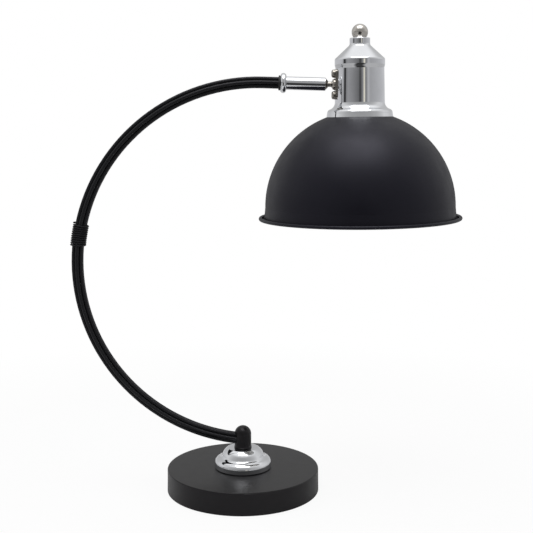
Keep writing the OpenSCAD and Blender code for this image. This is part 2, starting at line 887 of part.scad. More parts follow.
module pivot_ball() {
    tip_r = neck_d / 2 - 0.5;
    neck_stop = sqrt(pow(ball_r, 2) - pow(neck_d / 2, 2));
    color(c_nickel)
        arm_end(ball_at)
            difference() {
                sphere(r = ball_r);
                translate([0, 0, -past / 2]) cylinder(r = tip_r + seat_gap / 2, h = past);
                translate([0, 0, -past - neck_stop + eps]) cylinder(r = neck_d / 2 + seat_gap, h = past);
            }
}

// A sector of the ball joint's outline between two angles from the head's side
module joint_sector(from, to) {
    far = 4 * ball_r;
    mid = (from + to) / 2;
    polygon([
        [0, 0],
        [far * sin(from), far * cos(from)],
        [2 * far * sin(mid), 2 * far * cos(mid)],
        [far * sin(to), far * cos(to)]
    ]);
}

module ball_liner() {
    color(c_nylon)
        ball_frame()
            rotate([0, 90, 0])
                turned()
                    intersection() {
                        ring_outline(liner_r, socket_in_r);
                        joint_sector(liner_from, liner_to);
                    }
}

// Places of the two clamp screws, with +Z into the head
module at_screws() {
    for (side = [-1, 1])
        ball_frame()
            translate([-ball_sink, 0, side * screw_pitch])
                rotate([0, 90, 0])
                    children();
}

// Flat plate with a pressed socket that holds the ball
module socket_plate() {
    back = plate_t - ball_sink;
    hole_r = (socket_in_r + sqrt(pow(socket_r, 2) - pow(back, 2))) / 2;
    color(c_nickel)
        difference() {
            ball_frame()
                rotate([0, 90, 0]) {
                    translate([0, 0, -ball_sink])
                        linear_extrude(height = plate_t)
                            difference() {
                                plate_outline();
                                circle(r = hole_r);
                            }
                    turned()
                        intersection() {
                            ring_outline(socket_r, socket_in_r);
                            joint_sector(0, 180 - mouth_angle);
                            translate([0, -past]) square([past, past + back]);
                        }
                }
            at_screws() translate([0, 0, -1]) cylinder(r = screw_d / 2 + 2 * seat_gap, h = plate_t + 2);
        }
}

module plate_outline() {
    x = plate_h / 2 - plate_corner;
    y = plate_w / 2 - plate_corner;
    square([plate_h, 2 * y], center = true);
    square([2 * x, plate_w], center = true);
    for (sx = [-1, 1])
        for (sy = [-1, 1])
            translate([sx * x, sy * y]) circle(r = plate_corner);
}

module clamp_screws() {
    head_r = screw_head_d / 2;
    crown = 2.2;
    color(c_nickel)
        at_screws()
            difference() {
                union() {
                    rotate([180, 0, 0])
                        turned() {
                            square([head_r, screw_head_h - crown]);
                            square([head_r - crown, screw_head_h]);
                            intersection() {
                                translate([head_r - crown, screw_head_h - crown]) circle(r = crown);
                                square([head_r, screw_head_h]);
                            }
                        }
                    cylinder(d = screw_d, h = screw_len);
                }
                translate([-past, -0.5, -screw_head_h - 1]) cube([2 * past, 1, 2.2]);
            }
}

// Inner half of the clamp: a curved saddle with a pocket for the liner
module backing_saddle() {
    half_w = 10;
    half_h = plate_h / 2 - 0.3;
    front = flat_r - seat_gap;
    skin = head_wall + seat_gap;
    color(c_zinc)
        difference() {
            head_frame() {
                difference() {
                    intersection() {
                        turned()
                            polygon([
                                [body_r(-half_h) - skin - saddle_t, -half_h],
                                [body_r(-half_h) - skin, -half_h],
                                [body_r(half_h) - skin, half_h],
                                [body_r(half_h) - skin - saddle_t, half_h]
                            ]);
                        translate([-front, -half_w, -half_h]) cube([front, 2 * half_w, 2 * half_h]);
                    }
                    translate([-past, 0, 0])
                        rotate([0, 90, 0])
                            cylinder(r = boss_r - 1, h = past);
                }
                translate([-head_offset, 0, 0])
                    rotate([0, 90, 0])
                        turned()
                            difference() {
                                translate([0, head_offset - boss_front])
                                    square([boss_r, boss_front - boss_back]);
                                circle(r = pocket_r);
                                square([wire_hole_r, past]);
                            }
            }
            at_screws() translate([0, 0, -1]) cylinder(r = screw_d / 2 + seat_gap / 2, h = past / 4);
        }
}

// Head cup

// The cup's outline, moved inwards by w: a hollow flare runs into the flange's round edge
module head_outline(w) {
    side_r = flange_d / 2 - flange_taper / 2;
    flare_x = body_r(-flare_drop) + flare_r;
    round_x = side_r - flange_round;
    round_z = -flare_drop - sqrt(pow(flare_r + flange_round, 2) - pow(flare_x - round_x, 2));
    share = flare_r / (flare_r + flange_round);
    meet_x = flare_x + (round_x - flare_x) * share;
    meet_z = -flare_drop + (round_z + flare_drop) * share;
    cone_outline(body_r(-flare_drop) - w, -flare_drop, body_r(body_top) - w, body_top);
    difference() {
        translate([0, round_z]) square([meet_x, eps - flare_drop - round_z]);
        translate([flare_x, -flare_drop]) circle(r = flare_r + w);
    }
    intersection() {
        translate([round_x, round_z]) circle(r = flange_round - w);
        translate([0, round_z - eps]) square([side_r, meet_z - round_z + flange_round]);
    }
    cone_outline(flange_d / 2 - w, flange_z, side_r - w, round_z);
}

// The hollow in the cup's upper edge, which leads into the cap's band
module head_edge() {
    low = body_top - band_foot_h;
    difference() {
        translate([0, low]) square([body_r(body_top) + band_step, band_foot_h]);
        translate([body_r(low) + band_foot_round, low]) circle(r = band_foot_round);
    }
}

module head_cup() {
    color(c_chrome)
        head_frame()
            difference() {
                turned()
                    difference() {
                        union() {
                            head_outline(0);
                            head_edge();
                        }
                        head_outline(head_wall);
                        translate([0, body_top - 1]) square([body_r(body_top) - head_wall, 2]);
                        translate([0, flange_z - 1]) square([flange_d / 2 - head_wall, 1 + eps]);
                        translate([0, dome_z]) circle(r = dome_r + seat_gap / 2);
                    }
                translate([-past - flat_r, -past / 2, -plate_h / 2 - seat_gap])
                    cube([past, past, plate_h + 2 * seat_gap]);
            }
}

// Cap, collar and finial

// The cap's outline above the head cup, moved inwards by w: the cone's line touches the
// band's rounded edge below and the hollow of the collar above
module cap_outline(w) {
    nx = sin(cone_slope);
    nz = cos(cone_slope);
    round_x = band_d / 2 - band_round;
    round_z = body_top + band_h;
    reach = nx * round_x + nz * round_z + band_round;
    fillet_x = collar_r + collar_fillet;
    fillet_z = (reach + collar_fillet - nx * fillet_x) / nz;
    touch_x = fillet_x - (collar_fillet + w) * nx;
    touch_z = fillet_z - (collar_fillet + w) * nz;
    foot_x = band_d / 2 - band_foot_round;
    translate([0, body_top]) square([foot_x + 1, band_h]);
    intersection() {
        translate([foot_x, body_top + band_foot_h]) circle(r = band_foot_round - w);
        translate([foot_x, body_top]) square([band_foot_round, band_foot_h + eps]);
    }
    translate([0, body_top + band_foot_h]) square([band_d / 2 - w, band_h - band_foot_h]);
    translate([round_x, round_z]) circle(r = band_round - w);
    polygon([
        [0, round_z - eps],
        [round_x, round_z - eps],
        [round_x + (band_round - w) * nx, round_z + (band_round - w) * nz],
        [touch_x, touch_z],
        [0, touch_z]
    ]);
    difference() {
        translate([0, touch_z - eps]) square([touch_x, fillet_z - touch_z + eps]);
        translate([fillet_x, fillet_z]) circle(r = collar_fillet + w);
    }
    translate([0, fillet_z - eps]) square([collar_r - w, collar_top - 0.8 - fillet_z + eps]);
    translate([0, fillet_z]) square([collar_r - w - 0.8, collar_top - fillet_z]);
    translate([collar_r - w - 0.8, collar_top - 0.8]) circle(r = 0.8);
}

module cup_cap() {
    spigot_r = body_r(body_top) - head_wall - seat_gap;
    color(c_chrome)
        head_frame()
            turned()
                difference() {
                    union() {
                        cap_outline(0);
                        translate([0, body_top - spigot_h]) square([spigot_r, spigot_h + 1]);
                    }
                    intersection() {
                        cap_outline(head_wall);
                        translate([0, body_top + head_wall])
                            square([band_d, cap_h - head_wall - collar_top_t]);
                    }
                    translate([0, body_top - spigot_h - 1])
                        square([spigot_r - head_wall, spigot_h + 2]);
                    translate([0, collar_top - past]) square([rod_stud_r + seat_gap, past + 1]);
                    translate([0, finial_z]) circle(r = finial_r + seat_gap / 2);
                }
}

module finial_ball() {
    color(c_chrome)
        head_frame()
            difference() {
                translate([0, 0, finial_z]) sphere(r = finial_r);
                translate([0, 0, finial_z - finial_r - 1])
                    cylinder(r = rod_stud_r + seat_gap, h = finial_hole + 2);
            }
}

module clamp_stud() {
    low = cap_roof - holder_cap_wall - 2;
    color(c_zinc)
        head_frame()
            translate([0, 0, low])
                cylinder(r = rod_stud_r, h = finial_z - finial_r + finial_hole - low);
}

module stud_nut() {
    color(c_zinc)
        head_frame()
            translate([0, 0, cap_roof])
                hex_nut(stud_nut_af, rod_stud_r + seat_gap, stud_nut_t);
}

// Lampholder

// Outline of the lampholder's cap, moved inwards by w
module holder_cap_outline(w) {
    x = holder_cap_r - holder_cap_round;
    translate([0, cap_low]) square([holder_cap_r - w, holder_cap_side]);
    translate([0, cap_side_top - eps]) square([x, holder_cap_round - w + eps]);
    intersection() {
        translate([x, cap_side_top]) circle(r = holder_cap_round - w);
        translate([0, cap_side_top - eps]) square([holder_cap_r, holder_cap_round + eps]);
    }
}

module holder_cap() {
    color(c_black)
        head_frame()
            difference() {
                turned() holder_cap_outline(0);
                turned() {
                    holder_cap_outline(holder_cap_wall);
                    translate([0, cap_low - 1]) square([holder_cap_r - holder_cap_wall, 2]);
                }
                translate([0, 0, cap_low]) cylinder(r = rod_stud_r + seat_gap, h = past);
                translate([-head_lead_x, 0, cap_low]) cylinder(r = lead_d / 2 + 2 * seat_gap, h = past);
            }
}

module holder_skirt() {
    spigot_r = holder_cap_r - holder_cap_wall - seat_gap;
    in_r = skirt_r - skirt_wall;
    color(c_black)
        head_frame()
            turned()
                difference() {
                    union() {
                        translate([0, skirt_low]) square([skirt_r, skirt_len + 1]);
                        translate([0, shade_seat_z + seat_gap / 2])
                            square([skirt_r + shoulder_w, shoulder_t]);
                        translate([0, shoulder_top - 1])
                            square([holder_cap_r, cap_low - seat_gap - shoulder_top + 1]);
                        translate([0, cap_low - 1]) square([spigot_r, 3.6]);
                    }
                    translate([0, skirt_low + skirt_lip]) square([in_r, past]);
                    translate([0, skirt_low - 1]) square([shell_r + seat_gap, past]);
                }
}

module holder_core() {
    color(c_ceramic)
        head_frame()
            difference() {
                translate([0, 0, core_low]) cylinder(r = core_r, h = core_top - core_low);
                translate([0, 0, core_low - 1])
                    cylinder(r = shell_r + seat_gap, h = shell_top + seat_gap - core_low + 1);
                translate([0, 0, shell_top])
                    cylinder(d = contact_d + 4, h = contact_gap + contact_t + seat_gap);
                for (side = [-1, 1])
                    translate([side * core_r * 0.62, 0, core_top - 3])
                        cylinder(d = 3.4, h = 4);
            }
}

module screw_shell() {
    color(c_brass)
        head_frame()
            translate([0, 0, shell_low])
                difference() {
                    cylinder(r = shell_r, h = shell_len);
                    translate([0, 0, -1]) cylinder(d = shell_bore, h = shell_len + 2);
                }
}

module centre_contact() {
    color(c_brass)
        head_frame()
            translate([0, 0, shell_top + contact_gap])
                turned() {
                    translate([0, contact_t - 0.6]) square([contact_d / 2, 0.6]);
                    intersection() {
                        translate([0, 2.2]) circle(r = 2.2);
                        square([2.2, 1.2]);
                    }
                }
}

// The lead inside the head, from the joint into the lampholder's cap
module head_lead() {
    start = head_offset - pocket_r - 0.3;
    bend_x = -head_lead_x - head_lead_bend;
    low = cap_roof - holder_cap_wall - 2;
    color(c_lead)
        head_frame()
            translate([bend_x, 0, -head_lead_bend])
                rotate([90, 0, 0]) {
                    rotate_extrude(angle = 90)
                        translate([head_lead_bend, 0])
                            circle(d = lead_d);
                    translate([0, head_lead_bend, 0])
                        rotate([0, -90, 0])
                            cylinder(d = lead_d, h = start + bend_x);
                    translate([head_lead_bend, 0, 0])
                        rotate([90, 0, 0])
                            cylinder(d = lead_d, h = -head_lead_bend - low);
                }
}

// Shade

module shade_ring() {
    top = shade_seat_z - shade_wall - seat_gap / 2;
    color(c_black)
        head_frame()
            difference() {
                translate([0, 0, top - ring_t]) turned() {
                    square([ring_d / 2 - 1, ring_t]);
                    square([ring_d / 2, ring_t - 1]);
                    translate([ring_d / 2 - 1, ring_t - 1]) circle(r = 1);
                }
                translate([0, 0, top - ring_t - 1])
                    cylinder(r = skirt_r + seat_gap, h = ring_t + 2);
            }
}

// The turned-out rim with the roll along its edge
module rim_outline() {
    skirt_edge = dome_r + skirt_flare;
    translate([rim_r, rim_z + rim_bead_d / 2]) circle(d = rim_bead_d);
    difference() {
        translate([skirt_edge - shade_wall, rim_z])
            square([rim_r - skirt_edge + shade_wall, shade_wall + rim_fillet]);
        translate([skirt_edge + rim_fillet, rim_z + shade_wall + rim_fillet]) circle(r = rim_fillet);
        translate([skirt_edge + rim_fillet, rim_z + shade_wall]) square([dome_r, dome_r]);
    }
}

// The shade's outline, moved inwards by w
module shade_outline(w) {
    intersection() {
        translate([0, dome_z]) circle(r = dome_r - w);
        translate([0, dome_z]) square([dome_r, shade_seat_z - w - dome_z]);
    }
    cone_outline(dome_r + skirt_flare - w, rim_z, dome_r - w, dome_z);
}

module shade() {
    color(c_black)
        head_frame()
            turned()
                difference() {
                    union() {
                        shade_outline(0);
                        rim_outline();
                    }
                    shade_outline(shade_wall);
                    translate([0, rim_z - 1]) square([dome_r + skirt_flare - shade_wall, 1 + eps]);
                    translate([0, dome_z]) square([shade_hole_r, dome_r]);
                }
}

base_pad();
base_cover();
base_weight();
cable_bush();
terminal_block();
base_cup();
post();
lock_washer();
base_nut();
arm_rod(0);  // arm_rod_1
arm_rod(1);  // arm_rod_2
arm_rod(2);  // arm_rod_3
arm_rod(3);  // arm_rod_4
arm_rod(4);  // arm_rod_5
arm_rod(5);  // arm_rod_6
arm_centre_tube();
arm_lead();
arm_binding();
arm_end_washer();
sleeve_bead();
arm_sleeve();
friction_washer();
swivel_stud();
pivot_ball();
ball_liner();
socket_plate();
clamp_screws();
backing_saddle();
head_cup();
cup_cap();
clamp_stud();
stud_nut();
finial_ball();
holder_cap();
holder_skirt();
holder_core();
screw_shell();
centre_contact();
head_lead();
shade_ring();
shade();
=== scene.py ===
"""Desk lamp: materials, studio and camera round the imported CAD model."""

import json
import math

import bpy
from mathutils import Matrix, Vector


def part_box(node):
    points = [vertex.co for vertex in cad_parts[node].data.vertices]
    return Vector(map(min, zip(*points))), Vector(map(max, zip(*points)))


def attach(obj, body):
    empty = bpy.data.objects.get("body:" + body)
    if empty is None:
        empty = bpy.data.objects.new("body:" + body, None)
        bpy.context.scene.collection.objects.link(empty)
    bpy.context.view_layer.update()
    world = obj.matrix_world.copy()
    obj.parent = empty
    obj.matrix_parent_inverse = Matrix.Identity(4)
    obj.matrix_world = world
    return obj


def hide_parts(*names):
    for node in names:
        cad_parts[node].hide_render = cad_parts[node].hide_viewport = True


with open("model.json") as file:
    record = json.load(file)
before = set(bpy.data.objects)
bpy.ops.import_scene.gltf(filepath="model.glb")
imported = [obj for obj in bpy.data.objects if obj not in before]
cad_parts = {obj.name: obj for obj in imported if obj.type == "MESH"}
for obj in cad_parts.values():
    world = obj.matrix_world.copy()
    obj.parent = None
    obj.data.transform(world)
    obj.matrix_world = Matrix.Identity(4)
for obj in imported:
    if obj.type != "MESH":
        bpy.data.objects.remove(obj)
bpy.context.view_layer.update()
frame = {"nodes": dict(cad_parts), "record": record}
nodes = frame["nodes"]

MM = 0.001
WHITE = (1.0, 1.0, 1.0, 1.0)


# Colours


def grey(value, warmth=0.0):
    """A neutral colour, moved towards red for warmth above 0 and towards blue below it."""
    return (value * (1 + warmth), value, value * (1 - warmth), 1.0)


def scaled(colour, factor):
    """A colour made darker or lighter by a factor."""
    return tuple(factor * v for v in colour[:3]) + (1.0,)


# Node helpers


class Tree:
    """A node tree, with short calls that add nodes to it."""

    def __init__(self, tree):
        self.tree = tree

    def node(self, kind, **settings):
        made = self.tree.nodes.new(kind)
        for key, value in settings.items():
            setattr(made, key, value)
        return made

    def put(self, target, value):
        """Sets a socket, or links to it where the value is an output."""
        if isinstance(value, bpy.types.NodeSocket):
            self.tree.links.new(value, target)
        else:
            target.default_value = value

    def fill(self, made, *values):
        """Sets or links a node's first sockets, in their order."""
        for socket, value in zip(made.inputs, values):
            self.put(socket, value)

    def math(self, operation, *values):
        made = self.node("ShaderNodeMath", operation=operation)
        self.fill(made, *values)
        return made.outputs[0]

    def vector(self, operation, *values):
        made = self.node("ShaderNodeVectorMath", operation=operation)
        self.fill(made, *values)
        output = "Value" if operation in ("DOT_PRODUCT", "LENGTH") else "Vector"
        return made.outputs[output]

    def spread(self, value, low, high, start=0.3, end=0.7, curve="LINEAR"):
        """Maps start ... end, by default the usual range of a noise, to low ... high."""
        made = self.node("ShaderNodeMapRange", interpolation_type=curve)
        self.fill(made, value, start, end, low, high)
        return made.outputs["Result"]

    def mix(self, factor, a, b):
        """Mixes two colours."""
        made = self.node("ShaderNodeMix", data_type="RGBA")
        self.put(made.inputs["Factor"], factor)
        self.put(made.inputs["A"], a)
        self.put(made.inputs["B"], b)
        return made.outputs["Result"]

    def ramp(self, value, stops):
        """A colour ramp with stops of (place, colour)."""
        made = self.node("ShaderNodeValToRGB")
        self.put(made.inputs["Fac"], value)
        elements = made.color_ramp.elements
        elements.remove(elements[-1])
        for number, (place, colour) in enumerate(stops):
            stop = elements[0] if number == 0 else elements.new(place)
            stop.position = place
            stop.color = colour
        return made.outputs["Color"]

    def shine(self, kind, colour, strength=1.0):
        """The shader of an Emission or Background node."""
        made = self.node(kind)
        self.put(made.inputs["Color"], colour)
        made.inputs["Strength"].default_value = strength
        return made.outputs[0]

    def mix_shaders(self, factor, a, b):
        made = self.node("ShaderNodeMixShader")
        self.fill(made, factor, a, b)
        return made.outputs[0]


class Shader(Tree):
    """A material with one Principled shader."""

    def __init__(self, name, **sockets):
        self.material = bpy.data.materials.new(name)
        self.material.use_nodes = True
        super().__init__(self.material.node_tree)
        self.bsdf = self.tree.nodes["Principled BSDF"]
        self.set(**sockets)
        self.object_space = self.node("ShaderNodeTexCoord").outputs["Object"]

    def set(self, **sockets):
        """Sets or links sockets of the Principled shader, named with _ for a space."""
        for key, value in sockets.items():
            self.put(self.bsdf.inputs[key.replace("_", " ")], value)

    def noise(self, scale, detail, roughness=0.5, stretch=None):
        """Noise in object space, with so many features to a metre."""
        made = self.node("ShaderNodeTexNoise")
        space = self.object_space
        if stretch:
            mapping = self.node("ShaderNodeMapping")
            self.put(mapping.inputs["Scale"], stretch)
            self.put(mapping.inputs["Vector"], space)
            space = mapping.outputs["Vector"]
        self.put(made.inputs["Vector"], space)
        self.put(made.inputs["Scale"], scale)
        self.put(made.inputs["Detail"], detail)
        self.put(made.inputs["Roughness"], roughness)
        return made.outputs["Fac"]

    def bump(self, height, strength, distance, normal=None):
        made = self.node("ShaderNodeBump")
        self.put(made.inputs["Strength"], strength)
        self.put(made.inputs["Distance"], distance)
        self.put(made.inputs["Height"], height)
        if normal:
            self.put(made.inputs["Normal"], normal)
        return made.outputs["Normal"]

    def gloss_fade(self, level, share=0.15, tint=(0.86, 0.85, 1.0, 1.0)):
        """Lets gloss fall to a share of its level at grazing angles, where satin stays dark."""
        fade_from, fade_to = 0.62, 0.92
        self.set(Specular_Tint=tint, Specular_IOR_Level=level)
        weight = self.node("ShaderNodeLayerWeight")
        self.put(weight.inputs["Blend"], 0.5)
        self.set(Specular_IOR_Level=self.spread(
            weight.outputs["Facing"], level, level * share, fade_from, fade_to))
        return self


# Materials

# Noise scales, in features to a metre
CLOUD_SCALE = 38
UNEVEN_SCALE = 90
STAIN_SCALE = 55
SMEAR_SCALE = 120
WAVE_SCALE = 70
BRUSH_SCALE = 1400
FOAM_SCALE = 900
SHADE_RINGS_SCALE = 420
SHADE_CLOUD_SCALE = 30
SHADE_UNEVEN_SCALE = 80
SHADE_GRAIN_SCALE = 1300
LINING_CLOUD_SCALE = 45

# A coat's darkest and lightest patches, and how far clouds and specks make them
PATCH_DARK, PATCH_LIGHT = 0.82, 1.16
CLOUD_SHARE, SPECK_SHARE = 0.6, 0.4
STAIN_DARK = 0.9


def coat(name, colour, rough, grain, depth, uneven=0.04, **sockets):
    """Paint or moulded skin: cloudy colour, uneven gloss and a fine grain."""
    s = Shader(name, **sockets)
    cloud = s.spread(s.noise(CLOUD_SCALE, 3), 0.0, 1.0)
    speck = s.spread(s.noise(grain, 2), 0.0, 1.0)
    mottle = s.math("ADD", s.math("MULTIPLY", cloud, CLOUD_SHARE),
                    s.math("MULTIPLY", speck, SPECK_SHARE))
    s.set(
        Base_Color=s.mix(mottle, scaled(colour, PATCH_DARK), scaled(colour, PATCH_LIGHT)),
        Roughness=s.spread(s.noise(UNEVEN_SCALE, 3), rough - uneven, rough + uneven),
        Normal=s.bump(s.noise(grain, 3), 0.6, depth),
    )
    return s


def metal(name, colour, rough, uneven, wave=0.0, grain=0.0, stretch=None):
    """Bare or plated metal: slight stain, uneven polish, faint waves and brush grain."""
    s = Shader(name, Metallic=1.0)
    stain = s.spread(s.noise(STAIN_SCALE, 4, 0.6), 0.0, 1.0, 0.35, 0.75)
    smear = s.noise(SMEAR_SCALE, 4, 0.65)
    s.set(
        Base_Color=s.mix(stain, colour, scaled(colour, STAIN_DARK)),
        Roughness=s.spread(smear, rough - uneven, rough + uneven),
    )
    normal = None
    if wave:
        normal = s.bump(s.noise(WAVE_SCALE, 1), 0.3, wave)
    if grain:
        normal = s.bump(s.noise(BRUSH_SCALE, 2, 0.6, stretch), 0.4, grain, normal)
    if normal:
        s.set(Normal=normal)
    return s


def cast_iron():
    """Rough casting with a dull metal sheen."""
    s = coat("cast_iron", grey(0.05, -0.02), 0.74, 420, 0.0003)
    s.set(Metallic=0.3)
    return s


def foam_pad():
    """Closed-cell foam rubber."""
    s = Shader("foam_pad", Roughness=0.85)
    cells = s.node("ShaderNodeTexVoronoi")
    s.put(cells.inputs["Vector"], s.object_space)
    s.put(cells.inputs["Scale"], FOAM_SCALE)
    depth = s.spread(cells.outputs["Distance"], 0.0, 1.0, 0.0, 0.6)
    s.set(Base_Color=s.mix(depth, grey(0.028), grey(0.014)), Normal=s.bump(depth, 0.7, 0.0002))
    return s


# The head's own axis: its lean, and the shade's sizes on it, in millimetres
LEAN = math.radians(0.7)
AXIS_UP = Vector((-math.sin(LEAN), 0.0, math.cos(LEAN)))
RIM_R = 98.3  # to the middle of the rolled rim
SKIRT_H = 12.7  # from the rim up to the dome's middle
LINING_R = 94.1  # the white lining ends here, at the rolled rim


def dome_centre():
    """The middle of the shade's dome, found from the box round its rolled rim."""
    low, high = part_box("shade")
    rim = Vector(((low.x + high.x) / 2, 0.0, low.z + RIM_R * MM * math.sin(LEAN)))
    return rim + AXIS_UP * (SKIRT_H * MM)


def shade_paint():
    """Satin black outside with faint spinning rings, white lacquer inside."""
    s = Shader("shade_paint").gloss_fade(0.24)
    from_centre = s.vector("SUBTRACT", s.object_space, tuple(dome_centre()))
    normal = s.node("ShaderNodeTexCoord").outputs["Normal"]
    inward = s.math("LESS_THAN", s.vector("DOT_PRODUCT", normal, from_centre), 0.0)
    height = s.vector("DOT_PRODUCT", from_centre, tuple(AXIS_UP))
    along = s.node("ShaderNodeVectorMath", operation="SCALE")
    s.put(along.inputs[0], tuple(AXIS_UP))
    s.put(along.inputs["Scale"], height)
    across = s.vector("SUBTRACT", from_centre, along.outputs["Vector"])
    radial = s.vector("LENGTH", across)
    inside = s.math("MULTIPLY", inward, s.math("LESS_THAN", radial, LINING_R * MM))
    # Rings left by spinning lie level round the axis, so they go by radius less height
    rings = s.node("ShaderNodeTexNoise", noise_dimensions="1D")
    s.put(rings.inputs["W"], s.math("SUBTRACT", radial, height))
    s.put(rings.inputs["Scale"], SHADE_RINGS_SCALE)
    s.put(rings.inputs["Detail"], 3)
    cloud = s.spread(s.noise(SHADE_CLOUD_SCALE, 3), 0.0, 1.0)
    black = s.mix(cloud, (0.0034, 0.0033, 0.0062, 1.0), (0.0046, 0.0044, 0.0076, 1.0))
    haze = s.spread(s.noise(LINING_CLOUD_SCALE, 3), 0.0, 1.0)
    white = s.mix(haze, (0.76, 0.755, 0.73, 1.0), (0.82, 0.815, 0.79, 1.0))
    grain = s.bump(s.noise(SHADE_GRAIN_SCALE, 3), 0.35, 0.00004)
    s.set(
        Base_Color=s.mix(inside, black, white),
        Roughness=s.spread(s.noise(SHADE_UNEVEN_SCALE, 3), 0.40, 0.46),
        Normal=s.bump(rings.outputs["Fac"], 0.22, 0.00012, grain),
    )
    return s


# Each coat: name, colour, roughness, grain's scale, grain's depth in metres, unevenness
powder_black = coat("powder_black", grey(0.0036, 0.02), 0.33, 1500, 0.00003, 0.012)
powder_black.gloss_fade(0.24, 0.38, (0.97, 0.93, 1.0, 1.0))
rod_black = coat("rod_black", grey(0.0055, -0.1), 0.44, 1700, 0.00001, 0.01)
rod_black.gloss_fade(0.24, 0.7, (0.95, 0.92, 1.0, 1.0))
wire_black = coat("wire_black", grey(0.004), 0.5, 2200, 0.00005).gloss_fade(0.2)
# Each metal: name, colour, roughness, unevenness, and depths of waves and grain in metres
finial_nickel = metal("finial_nickel", (0.47, 0.45, 0.42, 1.0), 0.10, 0.03, wave=0.00003)
brass = metal("brass", (0.66, 0.48, 0.2, 1.0), 0.22, 0.06, wave=0.00003, grain=0.00001)

MATERIALS = {
    "pad": foam_pad(),
    "black_paint": powder_black,
    "shade_paint": shade_paint(),
    "binding_wire": wire_black,
    "chrome": metal("chrome", (0.66, 0.67, 0.69, 1.0), 0.055, 0.02, wave=0.00004),
    "nickel_plate": metal("nickel", (0.33, 0.31, 0.28, 1.0), 0.2, 0.05, wave=0.00003,
                          grain=0.00002, stretch=(1.0, 0.06, 1.0)),
    "zinc_steel": metal("zinc", (0.55, 0.56, 0.57, 1.0), 0.33, 0.06,
                        grain=0.00003, stretch=(1.0, 1.0, 0.08)),
    "cast_iron": cast_iron(),
    "black_rubber": coat("rubber_black", grey(0.016), 0.62, 1800, 0.00005),
    "black_plastic": coat("phenolic", grey(0.014, 0.03), 0.34, 900, 0.00002),
    "white_plastic": coat("nylon", (0.74, 0.72, 0.66, 1.0), 0.42, 700, 0.00003,
                          Subsurface_Weight=0.05),
    "ceramic": coat("porcelain", (0.80, 0.79, 0.74, 1.0), 0.12, 260, 0.00003,
                    Coat_Weight=0.5, Coat_Roughness=0.06),
    "brass": brass,
    "lead_insulation": coat("insulation", (0.62, 0.59, 0.52, 1.0), 0.35, 600, 0.00002),
}


def dress(thing, shader):
    """Gives every material slot of an object the same material."""
    if not thing.data.materials:
        thing.data.materials.append(shader.material)
    for slot in thing.material_slots:
        slot.material = shader.material


slot_of = {p["node"]: p["material_slot"] for p in frame["record"]["subparts"]}
for name, thing in nodes.items():
    shader = MATERIALS[slot_of[name]]
    if name.startswith("arm_rod") or name == "arm_centre_tube":
        shader = rod_black
    if name == "finial_ball":
        shader = finial_nickel
    dress(thing, shader)


# Pieces made here


def mesh_piece(name, points, faces, body, shader, replaced):
    """A smooth-shaded mesh that stands for a CAD node."""
    data = bpy.data.meshes.new(name)
    data.from_pydata([tuple(p) for p in points], [], faces)
    data.update()
    for polygon in data.polygons:
        polygon.use_smooth = True
    piece = bpy.data.objects.new(name, data)
    bpy.context.scene.collection.objects.link(piece)
    dress(piece, shader)
    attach(piece, body)
    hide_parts(replaced)


def around(number, count):
    """Cosine and sine of a step of a full turn."""
    turn = 2 * math.pi * number / count
    return math.cos(turn), math.sin(turn)


# The arm's arc and the wire wound round it, in millimetres. All is as in the CAD but the wire,
# which has the same outside and is 0.2 mm thicker inwards, so that its turns look closed
ARM_R = 179.3
ARM_CENTRE = Vector((15.108, 0.0, 231.813))
WIRE_R = 0.9
WIND_R = 7.0
WIND_TURNS = 10
WIND_PITCH = 2.15
WIND_ANGLE = 80.2  # degrees from the arc's top down to the winding's middle
WIND_STEPS = 40
WIRE_SIDES = 14
TAIL_STEPS = (0.95, 0.5)  # shares of the tail's length
# The wire's domed ends: share of its radius, and share of the way to full radius
WIRE_DOME = [(0.12, 0.0), (0.55, 0.22), (0.85, 0.58)]


def wound_point(turn):
    """A point of the winding's centreline after so many turns."""
    span = math.degrees(WIND_TURNS * WIND_PITCH / ARM_R)
    down = math.radians(WIND_ANGLE + span * (0.5 - turn / WIND_TURNS))
    a = -2 * math.pi * turn
    r = ARM_R + WIND_R * math.cos(a)
    return ARM_CENTRE + Vector((-r * math.sin(down), WIND_R * math.sin(a), r * math.cos(down)))


def tube(path, radius, sides):
    """Points and faces of a round tube along a path, with domed ends."""
    tangents = []
    for k in range(len(path)):
        ahead = path[min(k + 1, len(path) - 1)] - path[max(k - 1, 0)]
        tangents.append(ahead.normalized())

    def ring(centre, tangent, side, r):
        up = tangent.cross(side).normalized()
        return [centre + r * (c * side + s * up)
                for c, s in (around(k, sides) for k in range(sides))]

    side = tangents[0].orthogonal().normalized()
    rings = []
    for share, along in WIRE_DOME:
        centre = path[0] + tangents[0] * radius * along - tangents[0] * radius
        rings.append(ring(centre, tangents[0], side, radius * share))
    for centre, tangent in zip(path, tangents):
        side = (side - tangent * side.dot(tangent)).normalized()
        rings.append(ring(centre, tangent, side, radius))
    for share, along in reversed(WIRE_DOME):
        centre = path[-1] + tangents[-1] * radius * (1 - along)
        rings.append(ring(centre, tangents[-1], side, radius * share))
    points = [p for r in rings for p in r]
    faces = []
    for k in range(len(rings) - 1):
        for s in range(sides):
            a, b = k * sides + s, k * sides + (s + 1) % sides
            faces.append((a, b, b + sides, a + sides))
    faces.append(tuple(reversed(range(sides))))
    faces.append(tuple(range((len(rings) - 1) * sides, len(rings) * sides)))
    return points, faces


